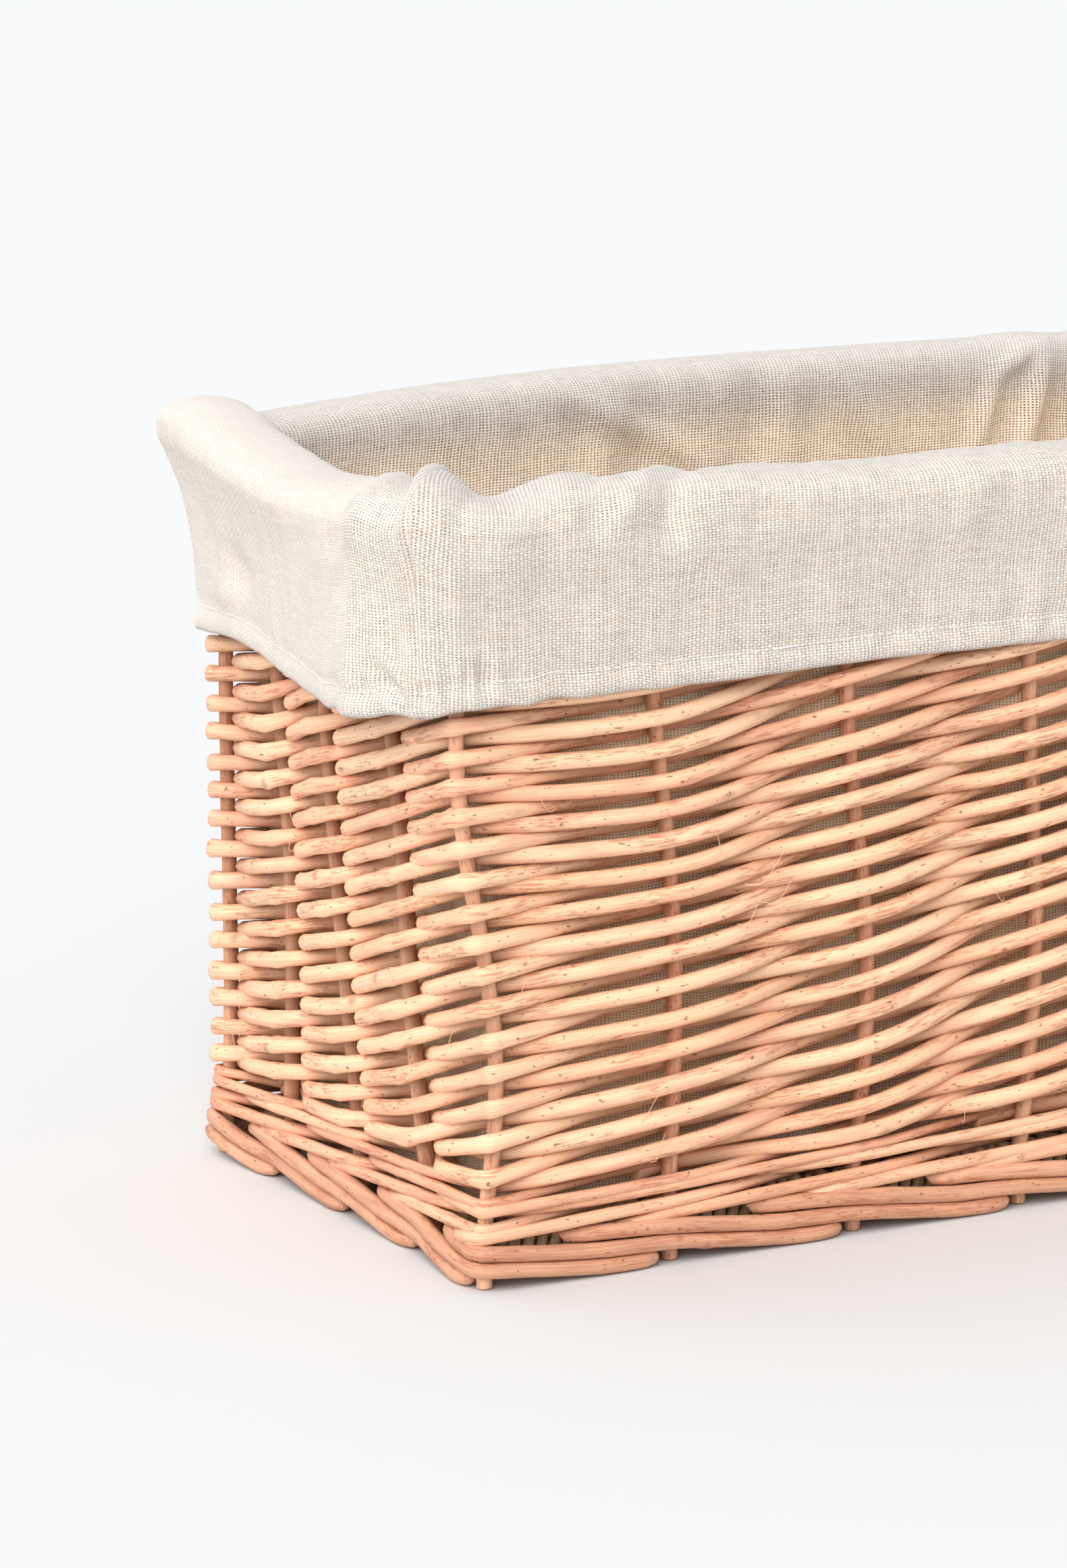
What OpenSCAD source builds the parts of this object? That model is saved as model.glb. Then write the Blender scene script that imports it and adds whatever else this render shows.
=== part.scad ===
// Lined willow basket: a woven basket of stakes, weavers and borders,
// and a cloth liner that folds over the rim and lifts out.
// Millimetres, +Z up. The origin is under the middle of the foot,
// the long front side faces -Y and the left end faces -X.

/* [Basket] */
// Length between the corner stakes at the foot
foot_length = 412; // [380:2:430]
// Depth between the corner stakes at the foot
foot_depth = 226; // [210:2:250]
// Length between the corner stakes at the rim
rim_length = 440; // [430:2:470]
// Depth between the corner stakes at the rim
rim_depth = 204; // [190:2:210]
// Height of the middle of the top border
rim_height = 298; // [290:1:310]
// Diameter of a stake
stake_d = 6.4; // [5.8:0.1:6.6]

/* [Weave] */
// Number of places for a weaver up each stake
slots = 39; // [36:1:44]
// Height of the lowest weaver
weave_bottom = 44; // [39:1:44]
// Height of the highest weaver
weave_top = 279; // [274:1:280]
// Thickness of a weaver across the wall
weaver_d = 5.2; // [4.8:0.1:5.4]
// Places that a weaver climbs from one stake to the next
climb = 2; // [2]

/* [Liner] */
// Height of the hem of the cuff
hem_height = 228; // [200:1:250]
// Thickness of the cloth with its seams
cloth = 1.8; // [1.4:0.1:2.0]
// How far the cuff leans out between its hem and the rim
cuff_flare = 10; // [0:1:14]

/* [Hidden] */
$fn = 32;

willow = "#dba678";
willow_dark = "#c98f63";
linen = "#e3dacb";

// The four walls are numbered front, right, back, left. A wall is drawn
// as the front one, running along +X with its outside at -Y, and turned.
FRONT = 0;
RIGHT = 1;
BACK = 2;
LEFT = 3;
WALLS = [FRONT, RIGHT, BACK, LEFT];
long_gaps = 5;
short_gaps = 4;
// Places of the stakes along an end wall, which are not quite even
end_places = [0, 0.25, 0.46, 0.72, 1];

// Levels, from the floor up
foot_rod_d = 6.4;
// The rods that the basket stands on are worn flat by this much
foot_flat = 0.3;
foot_low_z = foot_rod_d / 2 - foot_flat;
foot_high_z = foot_low_z + foot_rod_d + 0.1;
stake_foot_z = 1.5;
wale_d = 4.6;
wale_step = 4.8;
wale_low_z = foot_high_z + foot_rod_d / 2 + wale_d / 2 + 0.2;
wale_rows = 4;
border_d = 6;
stake_top_z = rim_height - border_d / 2 - 0.3;
top_wale_z = stake_top_z - 3 - wale_d;
border_top_z = rim_height + border_d + 0.1;
border_layer = border_d + 0.2;

// Base
stick_d = 7;
stick_count = 7;
base_weaver_d = 4.6;
base_pitch = 6.2;
base_inset = 5.5;
base_lower_z = foot_rod_d + 0.5 + base_weaver_d / 2;
base_stick_z = base_lower_z + (base_weaver_d + stick_d) / 2 + 0.1;
base_upper_z = base_stick_z + (base_weaver_d + stick_d) / 2 + 0.1;

// Weave. The weaver is a little flatter than the step between two places.
weaver_offset = (stake_d + weaver_d) / 2 + 0.25;
weaver_fill = 0.94;
// The weavers taper, so the steps get smaller upwards by this share
taper = 0.11;

// Liner
clear = 0.6;
bag_floor_z = base_upper_z + base_weaver_d / 2 + clear;
bag_gap = border_layer + border_d / 2 + clear;
bag_depth = rim_depth / 2 - bag_gap;
bag_foot_length = foot_length / 2 - weaver_offset - weaver_d / 2 - clear;
bag_rim_length = rim_length / 2 - bag_gap;
rim_cloth_z = border_top_z + border_d / 2 + 2;
elastic_t = 1;
elastic_h = 7;
cuff_gap = border_layer * 1.5 + border_d / 2 + clear + elastic_t;
cuff_length = rim_length / 2 + cuff_gap;
cuff_depth = rim_depth / 2 + cuff_gap;

function is_long(wall) = wall == FRONT || wall == BACK;
function gaps(wall) = is_long(wall) ? long_gaps : short_gaps;
function first_stake(wall) = [0, long_gaps, long_gaps + short_gaps, 2 * long_gaps + short_gaps][wall];
function mix(a, b, t) = a + (b - a) * t;
function half_length(z) = mix(foot_length, rim_length, z / rim_height) / 2;
function half_depth(z) = mix(foot_depth, rim_depth, z / rim_height) / 2;
// Half the run of a wall, and how far it stands from the middle
function run(wall, z) = is_long(wall) ? half_length(z) : half_depth(z);
function reach(wall, z) = is_long(wall) ? half_depth(z) : half_length(z);
function place(wall, j) =
    wall == LEFT ? end_places[j]
    : wall == RIGHT ? 1 - end_places[short_gaps - j]
    : j / long_gaps;
function stake_x(wall, j, z) = run(wall, z) * (2 * place(wall, j) - 1);
function stake_point(wall, j, z) = [stake_x(wall, j, z), -reach(wall, z), z];

// Height of a weaver's place, and the step between places there
function slot_z(n) =
    let (t = n / (slots - 1)) mix(weave_bottom, weave_top, t * (1 + taper * (1 - t)));
function slot_step(n) = (slot_z(n + 0.5) - slot_z(n - 0.5));
function is_outside(wall, j, n) = (first_stake(wall) + j + n) % 2 == 0;

module on_wall(wall) {
    rotate([0, 0, 90 * wall]) children();
}

// A round rod from one point to another
module rod(from, to, d) {
    v = to - from;
    translate(from)
        rotate([0, acos(v[2] / norm(v)), atan2(v[1], v[0])])
            cylinder(h = norm(v), d = d);
}

// A closed solid over rings of points. Every ring has the same number of
// sides and turns by the right hand about the way from ring to ring.
module swept(rings) {
    sides = len(rings[0]);
    top = (len(rings) - 1) * sides;
    points = [for (ring = rings) each ring];
    walls = [
        for (r = [0 : len(rings) - 2]) for (i = [0 : sides - 1])
            let (a = r * sides + i, b = r * sides + (i + 1) % sides)
                each [[b, a, a + sides], [b + sides, b, a + sides]]
    ];
    start = [for (i = [1 : sides - 2]) [0, i, i + 1]];
    end = [for (i = [1 : sides - 2]) [top, top + i + 1, top + i]];
    polyhedron(points, concat(walls, start, end));
}

// ---- base ----

base_run = foot_length / 2 - base_inset;
base_reach = foot_depth / 2 - base_inset;

module base_sticks() {
    pitch = (2 * base_reach - stick_d) / (stick_count - 1);
    color(willow_dark)
        for (i = [0 : stick_count - 1]) {
            y = -base_reach + stick_d / 2 + pitch * i;
            rod([-base_run, y, base_stick_z], [base_run, y, base_stick_z], stick_d);
        }
}

// Every second base weaver, lying above or below the sticks
module base_layer(z, first) {
    count = floor((2 * base_run - base_weaver_d) / base_pitch);
    start = -count * base_pitch / 2;
    color(willow)
        for (i = [first : 2 : count]) {
            x = start + base_pitch * i;
            rod([x, -base_reach, z], [x, base_reach, z], base_weaver_d);
        }
}

module base_weavers_upper() {
    base_layer(base_upper_z, 0);
}

module base_weavers_lower() {
    base_layer(base_lower_z, 1);
}

// ---- stakes ----

module stake(wall, j) {
    rod(stake_point(wall, j, stake_foot_z), stake_point(wall, j, stake_top_z), stake_d);
}

module corner_stakes() {
    color(willow_dark) for (wall = WALLS) on_wall(wall) stake(wall, 0);
}

module wall_stakes(wall) {
    color(willow_dark) on_wall(wall) for (j = [1 : gaps(wall) - 1]) stake(wall, j);
}

// ---- foot and wales ----

// The bent end of a stake, lying along the next gap
module foot_rod(wall, j, z) {
    end = 1.5;
    y = -reach(wall, z) - (stake_d + foot_rod_d) / 2 - 0.2;
    rod([stake_x(wall, j, z) + end, y, z],
        [stake_x(wall, j + 1, z) - end, y, z], foot_rod_d);
}

module foot_border() {
    under = 2 * foot_length;
    color(willow_dark)
        for (wall = WALLS) on_wall(wall)
            for (j = [0 : gaps(wall) - 1]) {
                foot_rod(wall, j, foot_high_z);
                difference() {
                    foot_rod(wall, j, foot_low_z);
                    translate([-under / 2, -under / 2, -foot_rod_d])
                        cube([under, under, foot_rod_d]);
                }
            }
}

// Rods that run round the basket at one level, outside and inside the stakes.
// Inside rods of the end walls stop short of those of the long walls.
module round_rods(z, d, outside, inside) {
    offset = (stake_d + d) / 2 + 0.3;
    for (wall = WALLS) on_wall(wall) {
        if (outside)
            rod([-run(wall, z), -reach(wall, z) - offset, z],
                [run(wall, z), -reach(wall, z) - offset, z], d);
        if (inside) {
            x = run(wall, z) - (is_long(wall) ? 0 : offset + d);
            rod([-x, -reach(wall, z) + offset, z], [x, -reach(wall, z) + offset, z], d);
        }
    }
}

module bottom_wale() {
    color(willow)
        for (row = [0 : wale_rows - 1])
            round_rods(wale_low_z + wale_step * row, wale_d, true, row == wale_rows - 1);
}

module top_wale() {
    color(willow)
        for (row = [0 : 1])
            round_rods(top_wale_z + wale_step * row - wale_step / 2, wale_d, true, true);
}

// ---- siding ----

// Six-sided section of a weaver as it passes stake j at place n
function weaver_ring(wall, j, n) =
    let (
        z = slot_z(n),
        side = is_outside(wall, j, n) ? -1 : 1,
        high = slot_step(n) * weaver_fill / 2,
        wide = weaver_d / 2 / cos(30)
    )
    [
        for (a = [30 : 60 : 330])
            [
                stake_x(wall, j, z),
                -reach(wall, z) + side * weaver_offset + wide * cos(a),
                z + high * sin(a)
            ]
    ];

// The section at an end wall's corner is moved towards the next stake where
// the weaver is inside, to leave room for the long wall's weavers
function end_ring(wall, j, n, way) =
    let (
        here = weaver_ring(wall, j, n),
        next = weaver_ring(wall, j + way, n + climb * way),
        t = (weaver_offset + weaver_d + 0.3) / abs(next[0][0] - here[0][0])
    )
    is_long(wall) || is_outside(wall, j, n) ? here : mix(here, next, t);

// One weaver on one wall, from stake j and place n up to the right
module weaver(wall, j, n) {
    last = min(gaps(wall), j + floor((slots - 1 - n) / climb));
    function ring(i) =
        let (m = n + climb * (i - j))
        i == 0 ? end_ring(wall, i, m, 1)
        : i == gaps(wall) ? end_ring(wall, i, m, -1)
        : weaver_ring(wall, i, m);
    if (last > j) swept([for (i = [j : last]) ring(i)]);
}

// Weavers that come round the corner, then those that start on this wall
module siding(wall) {
    color(willow) on_wall(wall) {
        for (n = [0 : slots - 1]) weaver(wall, 0, n);
        for (j = [1 : gaps(wall) - 1]) for (n = [0 : climb - 1]) weaver(wall, j, n);
    }
}

// ---- top border ----

module border_rod(wall, out, z) {
    inner = half_depth(z) - 1.5 * border_layer - border_d - 0.3;
    x = is_long(wall) ? half_length(z) + out : inner;
    y = -reach(wall, rim_height) - out;
    rod([-x, y, z], [x, y, z], border_d);
}

module top_border() {
    color(willow_dark)
        for (wall = WALLS) on_wall(wall) {
            for (i = [-1 : 1]) border_rod(wall, border_layer * i, rim_height);
            for (i = [-0.5 : 1 : 1.5]) border_rod(wall, border_layer * i, border_top_z);
        }
}

// ---- liner ----

// Four corners of a level cut through a wall board: outside pair, then inside pair
function board_ring(x_out, y_out, x_in, y_in, z) = [
    [-x_out, -y_out, z], [x_out, -y_out, z], [x_in, -y_in, z], [-x_in, -y_in, z]
];
function bag_length(z) =
    mix(bag_foot_length, bag_rim_length, (z - bag_floor_z) / (rim_cloth_z - bag_floor_z));

module liner_floor() {
    x = bag_length(bag_floor_z) - cloth;
    y = bag_depth - cloth;
    color(linen)
        translate([-x, -y, bag_floor_z]) cube([2 * x, 2 * y, cloth]);
}

// One side of the bag, mitred to its neighbours
module bag_side(wall) {
    function ring(z) =
        let (
            x = is_long(wall) ? bag_length(z) : bag_depth,
            y = is_long(wall) ? bag_depth : bag_length(z)
        )
        board_ring(x, y, x - cloth, y - cloth, z);
    color(linen) on_wall(wall) swept([ring(bag_floor_z), ring(rim_cloth_z)]);
}

// One side of the cuff: a strip over the border and a flap down to the hem
module cuff_side(wall) {
    x = is_long(wall) ? cuff_length : cuff_depth;
    y = is_long(wall) ? cuff_depth : cuff_length;
    bag_x = is_long(wall) ? bag_rim_length : bag_depth;
    bag_y = is_long(wall) ? bag_depth : bag_rim_length;
    out = cuff_flare + cloth;
    function strip(z) = board_ring(x + out, y + out, bag_x - cloth, bag_y - cloth, z);
    function flap(z, lean) =
        board_ring(x + lean + cloth, y + lean + cloth, x + lean, y + lean, z);
    color(linen) on_wall(wall) {
        swept([strip(rim_cloth_z), strip(rim_cloth_z + cloth)]);
        swept([flap(hem_height, 0), flap(rim_cloth_z, cuff_flare)]);
    }
}

module hem_elastic() {
    x = cuff_length;
    y = cuff_depth;
    color("white")
        translate([0, 0, hem_height + 1])
            difference() {
                translate([-x, -y, 0]) cube([2 * x, 2 * y, elastic_h]);
                translate([elastic_t - x, elastic_t - y, -1])
                    cube([2 * (x - elastic_t), 2 * (y - elastic_t), elastic_h + 2]);
            }
}

base_sticks();
base_weavers_upper();
base_weavers_lower();
corner_stakes();
wall_stakes(FRONT);  // front_stakes
wall_stakes(BACK);  // back_stakes
wall_stakes(LEFT);  // left_stakes
wall_stakes(RIGHT);  // right_stakes
foot_border();
bottom_wale();
siding(FRONT);  // siding_front
siding(RIGHT);  // siding_right
siding(BACK);  // siding_back
siding(LEFT);  // siding_left
top_wale();
top_border();
liner_floor();
bag_side(FRONT);  // liner_front
bag_side(RIGHT);  // liner_right
bag_side(BACK);  // liner_back
bag_side(LEFT);  // liner_left
cuff_side(FRONT);  // cuff_front
cuff_side(RIGHT);  // cuff_right
cuff_side(BACK);  // cuff_back
cuff_side(LEFT);  // cuff_left
hem_elastic();
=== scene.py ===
import math

import bpy
import numpy as np
from mathutils import Matrix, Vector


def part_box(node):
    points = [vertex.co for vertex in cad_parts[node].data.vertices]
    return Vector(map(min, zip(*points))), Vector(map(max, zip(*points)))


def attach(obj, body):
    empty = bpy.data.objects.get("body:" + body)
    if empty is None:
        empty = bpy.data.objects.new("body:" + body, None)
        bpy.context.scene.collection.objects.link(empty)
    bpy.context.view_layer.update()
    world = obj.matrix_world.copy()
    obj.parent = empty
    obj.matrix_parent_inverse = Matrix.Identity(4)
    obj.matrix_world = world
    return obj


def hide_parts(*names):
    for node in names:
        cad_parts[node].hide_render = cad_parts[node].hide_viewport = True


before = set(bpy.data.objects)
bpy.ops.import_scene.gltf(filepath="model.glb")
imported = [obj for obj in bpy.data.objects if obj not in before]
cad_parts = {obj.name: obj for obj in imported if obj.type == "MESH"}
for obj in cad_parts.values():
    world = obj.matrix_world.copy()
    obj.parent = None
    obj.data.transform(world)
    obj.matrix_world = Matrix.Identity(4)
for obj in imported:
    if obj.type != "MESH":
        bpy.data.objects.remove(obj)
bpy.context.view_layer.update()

# A willow basket with a cloth liner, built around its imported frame. Metres, +Z up. The long
# front side faces -Y. Walls and stakes are numbered counter-clockwise from the near left corner.

MM = 0.001
rng = np.random.default_rng(17)

# ---- sizes, from the frame ----


def high(node, axis):
    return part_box(node)[1][axis]


# How far the two borders stand out from the line of stakes, and the top one over the rim
BORDER_REACH, FOOT_REACH, BORDER_RISE = 12.3 * MM, 9.8 * MM, 9.1 * MM
STAKE_R = 3.2 * MM
rim_z = high("top_border", 2) - BORDER_RISE
rim_half = np.array([high("top_border", 0), high("top_border", 1)]) - BORDER_REACH
foot_half = np.array([high("foot_border", 0), high("foot_border", 1)]) - FOOT_REACH
stick_z = (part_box("base_sticks")[0].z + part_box("base_sticks")[1].z) / 2
base_half = np.array([high("base_sticks", 0), high("base_weavers_upper", 1)])
# The bag's middle surface, inside the solids that it stands for
bag_floor_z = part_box("liner_floor")[0].z + 0.6 * MM
bag_half_y = -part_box("liner_front")[0].y
bag_foot_x = high("liner_floor", 0) + 1.2 * MM
bag_rim_x = high("liner_right", 0) - 0.6 * MM

# The ways along and out of each wall, and the places of its stakes as shares of its length
WALL_DIR = np.array([[1, 0], [0, 1], [-1, 0], [0, -1]], float)
WALL_OUT = np.array([[0, -1], [1, 0], [0, 1], [-1, 0]], float)
LONG_PLACES = [0, 0.2, 0.4, 0.6, 0.8]
RIGHT_PLACES = [0, 0.28, 0.54, 0.75]
LEFT_PLACES = [0, 0.25, 0.46, 0.72]
STAKES = [
    (wall, place)
    for wall, places in enumerate((LONG_PLACES, RIGHT_PLACES, LONG_PLACES, LEFT_PLACES))
    for place in places
]
COUNT = len(STAKES)
SHORT_WALLS = (1, 3)
HALF_WAY = 150 * MM

# How far each stake leans along its wall, at these heights, in millimetres
LEAN_Z = np.array([0, 30, 70, 110, 150, 190, 230, 300]) * MM
LEANS = {
    0: [-6, -5, 5, 2.8, -1, -3.2, -3.6, -2],
    14: [-6, -3, 0, 0, 1, 2, 2.7, 1],
    1: [-6, -5, -1.5, 1.5, 0.6, -0.8, -4, -3],
    2: [-4, -3, 3, 5, 1.8, -0.5, -2.5, -2],
    3: [-8, -7, -0.8, -0.3, -1.4, -1.5, -3.5, -3],
    15: [-5, -4.5, -1, 4, 3.7, 1, -2.2, -2],
    16: [9, 9, 5, 2.7, -1.6, -3, -4, -3],
    17: [10, 9, 2.4, 2.2, 2, -1.5, -5, -4],
}
# The stake at the far left corner leans along the back wall's line instead
LEAN_WAY = {14: np.array([1.0, 0.0])}
usual_lean = np.array([-3, -2, 1.5, 2.5, 1, -1, -2, -1])
lean_curves = []
for k in range(COUNT):
    rows = LEANS.get(k, usual_lean * rng.uniform(-1.2, 1.4))
    lean_curves.append(np.polyfit(LEAN_Z, np.array(rows) * MM, 5))


def half(z):
    """Half the length and depth between the stakes at a height."""
    return foot_half + (rim_half - foot_half) * z / rim_z


def outward(k):
    """The way out of the basket at a stake."""
    wall, place = STAKES[k % COUNT]
    out = WALL_OUT[wall] + (WALL_OUT[wall - 1] if place == 0 else 0)
    return out / np.linalg.norm(out)


def onward(k):
    """The way round the basket at a stake."""
    wall, place = STAKES[k % COUNT]
    way = WALL_DIR[wall] + (WALL_DIR[wall - 1] if place == 0 else 0)
    return way / np.linalg.norm(way)


def is_corner(k):
    return STAKES[k % COUNT][1] == 0


def stake_point(k, z, out=0.0):
    """A point in a stake, or moved outwards from it."""
    wall, place = STAKES[k % COUNT]
    size = half(z)
    run = 2 * abs(WALL_DIR[wall] @ size)
    start = (WALL_OUT[wall] - WALL_DIR[wall]) * size
    lean = np.polyval(lean_curves[k % COUNT], min(z, 0.3))
    flat = start + WALL_DIR[wall] * run * place + LEAN_WAY.get(k % COUNT, WALL_DIR[wall]) * lean
    flat = flat + outward(k) * out
    return np.array([flat[0], flat[1], z])


def gap(k):
    """The distance from a stake to the next, half way up."""
    return np.linalg.norm(stake_point(k + 1, HALF_WAY) - stake_point(k, HALF_WAY))


# ---- meshes ----


def colour(tint, factor=1.0):
    """A display colour from 0 to 255, times a factor, as the linear one that shaders use."""
    c = np.array(tint) * factor / 255
    c = np.where(c <= 0.04045, c / 12.92, ((c + 0.055) / 1.055) ** 2.4)
    return (*c, 1.0)


def make_piece(name, points, faces, material, body, replaced=(), layers=None):
    """A smooth mesh that rides on a body. Faces are arrays of rows of point numbers."""
    mesh = bpy.data.meshes.new(name)
    faces = [np.asarray(f, np.int32) for f in faces if len(f)]
    corners = np.concatenate([f.ravel() for f in faces])
    sizes = np.concatenate([np.full(len(f), f.shape[1]) for f in faces])
    starts = np.concatenate([[0], np.cumsum(sizes)[:-1]]).astype(np.int32)
    mesh.vertices.add(len(points))
    mesh.vertices.foreach_set("co", np.asarray(points, np.float32).ravel())
    mesh.loops.add(len(corners))
    mesh.loops.foreach_set("vertex_index", corners)
    mesh.polygons.add(len(starts))
    mesh.polygons.foreach_set("loop_start", starts)
    mesh.update(calc_edges=True)
    for layer, (domain, values) in (layers or {}).items():
        made = mesh.attributes.new(layer, "FLOAT_VECTOR", domain)
        made.data.foreach_set("vector", np.asarray(values, np.float32).ravel())
    mesh.shade_smooth()
    mesh.materials.append(material)
    piece = bpy.data.objects.new(name, mesh)
    bpy.context.scene.collection.objects.link(piece)
    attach(piece, body)
    if replaced:
        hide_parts(*replaced)
    return piece


def unit(v):
    return v / np.maximum(np.linalg.norm(v, axis=-1, keepdims=True), 1e-12)


def bell(x, middle, width):
    """1 at the middle, and falling to nothing about two widths away."""
    return np.exp(-(((x - middle) / width) ** 2))


def fade(x, start, span):
    """0 up to the start and 1 from a span further on."""
    return np.clip((x - start) / span, 0, 1)


def lengths(path):
    """The distance along a path at each of its points."""
    steps = np.linalg.norm(np.diff(path, axis=0), axis=1)
    return np.concatenate([[0], np.cumsum(steps)])


def hermite(points, leave, arrive, steps):
    """A path through points, with the tangents that leave and arrive at each."""
    path = []
    for i in range(len(points) - 1):
        t = np.linspace(0, 1, steps, endpoint=False)[:, None]
        a, b = points[i], points[i + 1]
        path.append(
            (2 * t**3 - 3 * t**2 + 1) * a
            + (t**3 - 2 * t**2 + t) * leave[i]
            + (3 * t**2 - 2 * t**3) * b
            + (t**3 - t**2) * arrive[i + 1]
        )
    path.append(points[-1][None])
    return np.concatenate(path)


def smooth_path(points, step):
    """A smooth path through points, a step apart."""
    points = np.array(points, float)
    ends = np.concatenate([[points[0]], points, [points[-1]]])
    tangents = (ends[2:] - ends[:-2]) / 2
    path = hermite(points, tangents, tangents, 12)
    along = lengths(path[:, :3])
    wanted = np.linspace(0, along[-1], max(4, int(along[-1] / step)))
    return np.stack([np.interp(wanted, along, path[:, i]) for i in range(path.shape[1])], 1)


# The bark's ripples: their length in millimetres, their height as a share of the rod's radius,
# and their turns round the rod
RIPPLES = ((45, 0.030, 1), (21, 0.022, 2), (9, 0.012, 3))
KNOT_EVERY = 85 * MM
# The ends of a rod, cut or blunt: the width of the end's face, how far the face and its middle
# stand out, as shares of the radius, and the mark that the shader reads there
CUT, BLUNT = (0.86, 0.16, 0.02, -1.0), (0.62, 0.75, 0.3, 0.0)


def bark(along, angle, rough):
    """How far a rod's bark stands out, as a share of its radius, and where its knots are."""
    shape = np.zeros((len(along), len(angle)))
    for wave, height, turns in RIPPLES:
        p, q = rng.uniform(0, 2 * math.pi, 2)
        ripple = np.sin(along[:, None] / (wave * MM) * 2 * math.pi + p)
        shape += rough * height * ripple * np.cos(turns * angle + q)
    knots = np.zeros_like(shape)
    for _ in range(rng.poisson(along[-1] / KNOT_EVERY) if rough else 0):
        place, turn = rng.uniform(0, along[-1]), rng.uniform(0, 2 * math.pi)
        knot = bell(along[:, None], place, 2.4 * MM) * np.clip(np.cos(angle - turn), 0, 1) ** 2
        shape += 0.17 * knot
        knots = np.maximum(knots, knot)
    return shape, knots


def rod_faces(n, sides):
    """Faces round n rings of points, and over the smaller ring and middle point of each end."""
    body = np.arange(n * sides).reshape(n, sides)
    turned = np.roll(body, -1, 1)
    quads = [np.stack([body[:-1], turned[:-1], turned[1:], body[1:]], -1).reshape(-1, 4)]
    tris = []
    for end, first in ((0, n * sides), (-1, (n + 1) * sides + 1)):
        cap = first + np.arange(sides)
        around = np.roll(cap, -1)
        rim, rim_on = body[end], turned[end]
        if end == 0:
            cap, around, rim, rim_on = around, cap, rim_on, rim
        quads.append(np.stack([rim, rim_on, around, cap], -1))
        tris.append(np.stack([cap, around, np.full(sides, first + sides)], -1))
    return np.concatenate(quads), np.concatenate(tris)


class Rods:
    """Rods of willow that make one piece. Each has a bark that is not quite round, knots,
    and cut ends, and keeps its straightened shape for the grain."""

    def __init__(self):
        self.points, self.grain, self.look, self.quads, self.tris = [], [], [], [], []
        self.used = 0

    def add(self, path, radius, tone=None, sides=10, ref=(0, 0, 1), press=0.0,
            slant=(0.5, -0.5), rough=1.0, blunt=(False, False)):
        """press flattens the rod where it is kinked. slant tilts its two cut ends, and blunt
        rounds them. ref is the way that the rod's sides are measured from."""
        tone = rng.uniform() if tone is None else tone
        hue = rng.uniform()
        n = len(path)
        radius, press = np.broadcast_to(radius, n), np.broadcast_to(press, n)
        way = unit(np.gradient(path, axis=0))
        side = unit(np.cross(way, np.array(ref, float)))
        rise = np.cross(side, way)
        along = lengths(path)
        angle = np.arange(sides) / sides * 2 * math.pi
        shape, knots = bark(along, angle, rough)
        wide = np.cos(angle) * (1 - 0.30 * press[:, None])
        tall = np.sin(angle) * (1 + 0.16 * press[:, None])
        r = radius[:, None] * (1 + shape)
        ring = (path[:, None] + (r * wide)[..., None] * side[:, None]
                + (r * tall)[..., None] * rise[:, None])
        flat = np.stack([r * np.cos(angle), r * np.sin(angle),
                         np.broadcast_to(along[:, None], r.shape)], -1)
        rings, grains, marks = [ring], [flat], [knots]
        for end, sign in ((0, -1), (-1, 1)):
            scale, face_out, middle_out, mark = BLUNT if blunt[end] else CUT
            tilt = slant[end] * radius[end] * np.sin(angle)
            ring[end] += tilt[:, None] * way[end] * sign
            out = way[end] * sign * radius[end]
            cap = path[end] + (ring[end] - path[end]) * scale + out * face_out
            centre = cap.mean(0) + out * middle_out
            rings.append(np.concatenate([cap, centre[None]]))
            grains.append(np.concatenate([flat[end] * scale, flat[end].mean(0)[None]]))
            marks.append(np.full(sides + 1, mark))
        points = np.concatenate([x.reshape(-1, 3) for x in rings])
        grain = np.concatenate([x.reshape(-1, 3) for x in grains])
        marked = np.concatenate([x.ravel() for x in marks])
        grain[:, 2] += rng.uniform(0, 30)
        quads, tris = rod_faces(n, sides)
        self.points.append(points)
        self.grain.append(grain)
        self.look.append(np.stack([np.full(len(points), tone), np.full(len(points), hue), marked], 1))
        self.quads.append(quads + self.used)
        self.tris.append(tris + self.used)
        self.used += len(points)

    def piece(self, name, material, replaced=(), body="basket", slot="willow"):
        points = np.concatenate(self.points)
        # How near the bark is to the line of stakes, where the willow's shader paints shade into the
        # colour
        off_line = np.max(np.abs(points[:, :2]) - half(points[:, 2:]), axis=1)
        deep = np.clip(1 - np.abs(off_line) / (8 * MM), 0, 1)
        layers = {"grain": ("POINT", np.concatenate(self.grain)),
                  "look": ("POINT", np.concatenate(self.look)),
                  "deep": ("POINT", np.stack([deep, deep, deep], 1))}
        faces = [np.concatenate(self.quads), np.concatenate(self.tris)]
        return make_piece(name, points, faces, material, body, replaced, layers)


# ---- shaders ----


def put(tree, socket, value):
    if isinstance(value, Value):
        tree.links.new(value.socket, socket)
    else:
        socket.default_value = value


def new_node(tree, kind, inputs, output=0, **settings):
    """The value that a new shader node gives, from its inputs by place or name."""
    node = tree.nodes.new("ShaderNode" + kind)
    for name, setting in settings.items():
        setattr(node, name, setting)
    for place, value in inputs.items():
        put(tree, node.inputs[place], value)
    return Value(tree, node.outputs[output])


class Value:
    """The output of a shader node, for use in sums."""

    def __init__(self, tree, socket):
        self.tree, self.socket = tree, socket

    def math(self, kind, *others):
        return new_node(self.tree, "Math", dict(enumerate((self, *others))), operation=kind)

    def __add__(self, other):
        return self.math("ADD", other)

    def __sub__(self, other):
        return self.math("SUBTRACT", other)

    def __mul__(self, other):
        return self.math("MULTIPLY", other)

    def ramp(self, low, high):
        """0 below low, 1 above high, and smooth between."""
        limits = dict(enumerate((self, low, high, 0.0, 1.0)))
        return new_node(self.tree, "MapRange", limits, interpolation_type="SMOOTHSTEP")


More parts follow.
